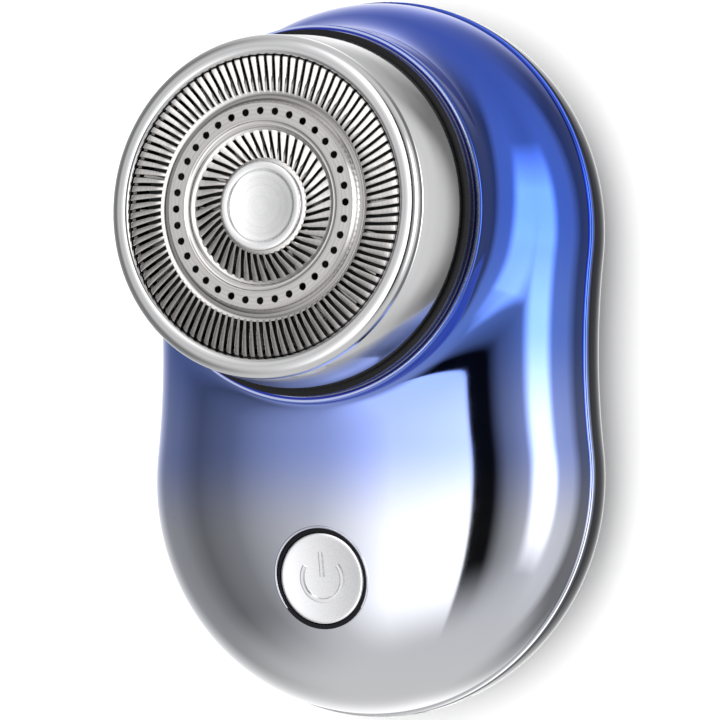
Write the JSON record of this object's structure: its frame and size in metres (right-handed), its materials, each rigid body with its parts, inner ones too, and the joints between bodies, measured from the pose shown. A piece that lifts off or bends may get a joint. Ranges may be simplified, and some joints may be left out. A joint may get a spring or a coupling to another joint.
{
  "type": "electric shaver",
  "caption": "Pocket rotary electric shaver with a mirror-plated two-lobed case, a lift-off round foil head and a push button.",
  "frame": {"origin": "middle of the flat back, in the plane that the shaver lies on", "axes": "+Z along the head's axis, away from the back; +Y towards the head end; +X to the right, seen from the front"},
  "size_m": [0.0462, 0.07, 0.0346],
  "materials": {
    "chromed_shell": "electroplated plastic, mirror gloss, blue at the head end fading to silver at the button end",
    "dark_shell": "moulded plastic with a dark blue mirror coat",
    "seal_rubber": "moulded silicone, matt",
    "steel": "plain or machined steel",
    "bright_trim": "bright plated ring",
    "black_plastic": "moulded plastic, semi gloss",
    "bright_metal": "nickel plated",
    "bronze": "sintered bronze and brass",
    "board_green": "solder mask over glass laminate",
    "clear_window": "clear moulded window",
    "white_plastic": "moulded acetal",
    "foil_pouch": "laminated pouch foil",
    "foam_pad": "foam tape",
    "red_wire": "insulated lead",
    "black_wire": "insulated lead",
    "chrome_cap": "electroplated, mirror gloss",
    "foil_metal": "pressed and slotted stainless foil",
    "satin_disc": "satin pressed disc",
    "satin_button": "satin plated button"
  },
  "bodies": {
    "case": {"front_shell": "chromed_shell", "rear_shell": "dark_shell", "seam_gasket": "seal_rubber", "case_screws": "steel", "neck_trim": "bright_trim", "head_seat": "black_plastic", "seat_o_ring": "seal_rubber", "seat_magnets": "bright_metal", "seat_screws": "steel", "shaft_seal": "seal_rubber", "motor_can": "steel", "motor_endbell": "black_plastic", "motor_bushes": "bronze", "motor_magnets": "black_plastic", "motor_terminals": "bronze", "motor_screws": "steel", "circuit_board": "board_green", "board_screws": "steel", "board_chips": "black_plastic", "tact_switch": "steel", "usb_port": "steel", "port_tongue": "black_plastic", "port_seal": "seal_rubber", "led_window": "clear_window", "charge_led": "white_plastic", "battery_cell": "foil_pouch", "battery_pad": "foam_pad", "battery_tabs": "bronze", "battery_lead_red": "red_wire", "battery_lead_black": "black_wire", "motor_lead_red": "red_wire", "motor_lead_black": "black_wire", "button_seal": "seal_rubber"},
    "rotor": {"motor_shaft": "steel", "armature_core": "steel", "commutator": "bronze", "drive_coupling": "white_plastic", "drive_spring": "steel", "cutter_carrier": "white_plastic", "cutter_blades": "steel"},
    "head": {"head_cap": "chrome_cap", "cutter_foil": "foil_metal", "centre_disc": "satin_disc", "foil_retainer": "black_plastic", "head_magnets": "bright_metal"},
    "button": {"power_button": "satin_button"},
    "plunger": {"switch_plunger": "white_plastic"}
  },
  "joints": [
    {"name": "rotor_spin", "type": "hinge", "parent": "case", "child": "rotor", "pos_m": [0, 0.0131, 0.03], "axis": [0, 0, 1], "continuous": true},
    {"name": "head_lift", "type": "slide", "parent": "case", "child": "head", "axis": [0, 0, 1], "range_m": [0, 0.012]},
    {"name": "button_press", "type": "slide", "parent": "case", "child": "button", "axis": [0, 0.1564, -0.9877], "range_m": [0, 0.0005], "stiffness_N_per_m": 1500, "springref_m": -0.0003},
    {"name": "plunger_press", "type": "slide", "parent": "case", "child": "plunger", "axis": [0, 0, -1], "range_m": [0, 0.00055]}
  ],
  "couplings": [
    {"joint": "plunger_press", "follows": "button_press", "ratio": 0.9877}
  ]
}
